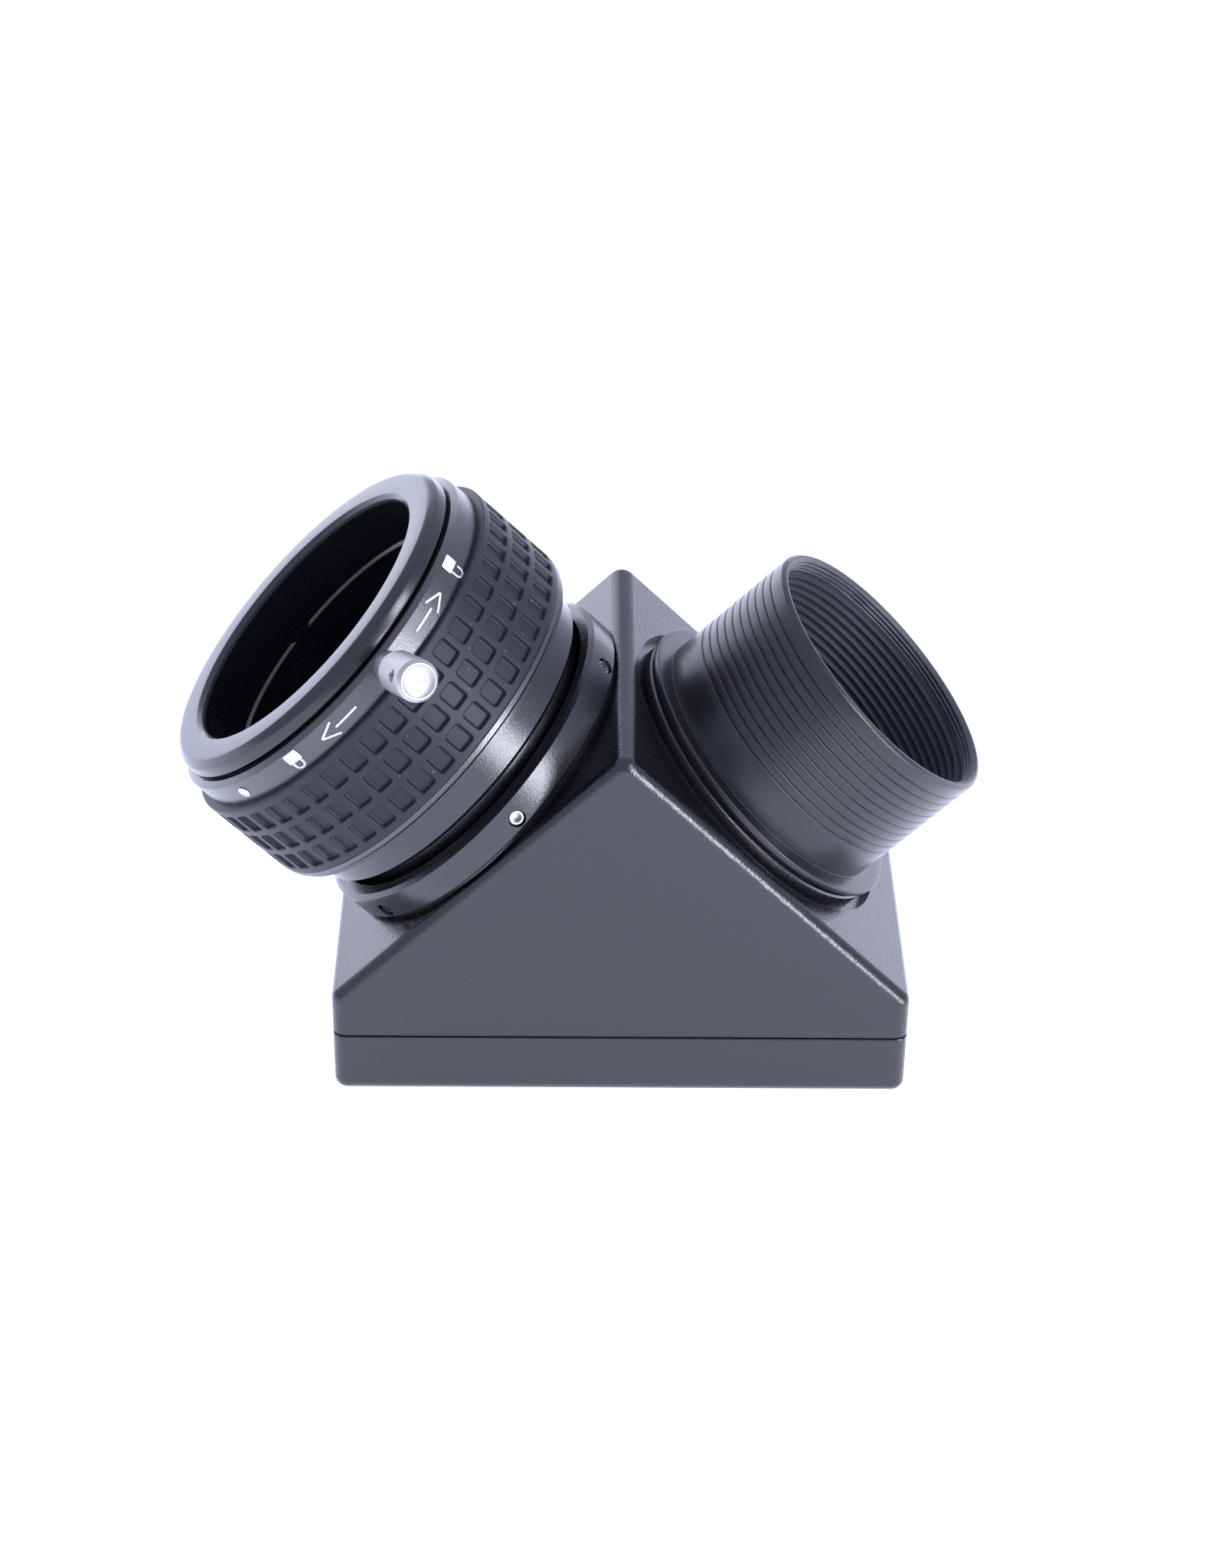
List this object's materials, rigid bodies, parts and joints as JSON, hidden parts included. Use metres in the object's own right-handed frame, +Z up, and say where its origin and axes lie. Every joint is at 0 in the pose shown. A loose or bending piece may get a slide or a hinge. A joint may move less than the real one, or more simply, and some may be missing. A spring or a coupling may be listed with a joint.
{
  "type": "star diagonal",
  "caption": "Right-angle mirror housing with a grooved barrel on one sloping port and a twist-lock eyepiece clamp with a rubber grip on the other.",
  "frame": {"origin": "centre of the base cover's flat underside", "axes": "+Z up through the ridge; +X towards the nosepiece side, -X towards the eyepiece clamp; +Y towards the back; both port axes lie in the XZ plane at 45 degrees and cross on the mirror at z = 22.2 mm"},
  "size_m": [0.1399, 0.0806, 0.0993],
  "materials": {
    "housing_paint": "fine leather-textured dark grey paint on cast aluminium",
    "black_anodised": "bead-blasted black anodising",
    "grip_rubber": "matte moulded rubber",
    "stainless": "bead-blasted stainless steel",
    "bright_steel": "bright steel screws",
    "mirror_silver": "dielectric-coated silver",
    "mirror_glass": "ground edge, low-expansion glass",
    "black_plastic": "black acetal"
  },
  "bodies": {
    "housing": {"housing": "housing_paint", "base_cover": "housing_paint", "light_seal": "black_plastic", "cover_screws": "bright_steel", "mirror_glass": "mirror_glass", "mirror_coating": "mirror_silver", "mirror_cell": "black_anodised", "cell_screws": "bright_steel", "mirror_clips": "bright_steel", "clip_screws": "bright_steel", "nose_port_ring": "black_anodised", "nosepiece": "black_anodised", "change_ring": "black_anodised", "set_screws": "bright_steel"},
    "clamp": {"clamp_body": "black_anodised", "stop_pin": "bright_steel", "slip_washer": "black_plastic", "rear_slip_ring": "black_plastic", "front_collar": "black_anodised"},
    "lock_ring": {"lock_ring": "black_anodised", "rubber_grip": "grip_rubber", "lever_knob": "stainless", "lever_stud": "bright_steel", "cam_ring": "bright_steel"},
    "jaw_1": {"clamp_jaw_1": "black_anodised", "cam_follower_1": "bright_steel"},
    "jaw_2": {"clamp_jaw_2": "black_anodised", "cam_follower_2": "bright_steel"},
    "jaw_3": {"clamp_jaw_3": "black_anodised", "cam_follower_3": "bright_steel"}
  },
  "joints": [
    {"name": "clamp_rotation", "type": "hinge", "parent": "housing", "child": "clamp", "pos_m": [0, 0, 0.0222], "axis": [-0.7071, 0, 0.7071], "continuous": true},
    {"name": "lock_turn", "type": "hinge", "parent": "clamp", "child": "lock_ring", "pos_m": [0, 0, 0.0222], "axis": [-0.7071, 0, 0.7071], "range_deg": [-25, 0]},
    {"name": "jaw_1_slide", "type": "slide", "parent": "clamp", "child": "jaw_1", "axis": [-0.3374, -0.8788, -0.3374], "range_m": [0, 0.0006]},
    {"name": "jaw_2_slide", "type": "slide", "parent": "clamp", "child": "jaw_2", "axis": [0.7069, 0.0262, 0.7069], "range_m": [0, 0.0006]},
    {"name": "jaw_3_slide", "type": "slide", "parent": "clamp", "child": "jaw_3", "axis": [-0.3695, 0.8526, -0.3695], "range_m": [0, 0.0006]}
  ],
  "couplings": [
    {"joint": "jaw_1_slide", "follows": "lock_turn", "m_per_rad": -0.0013751},
    {"joint": "jaw_2_slide", "follows": "lock_turn", "m_per_rad": -0.0013751},
    {"joint": "jaw_3_slide", "follows": "lock_turn", "m_per_rad": -0.0013751}
  ]
}
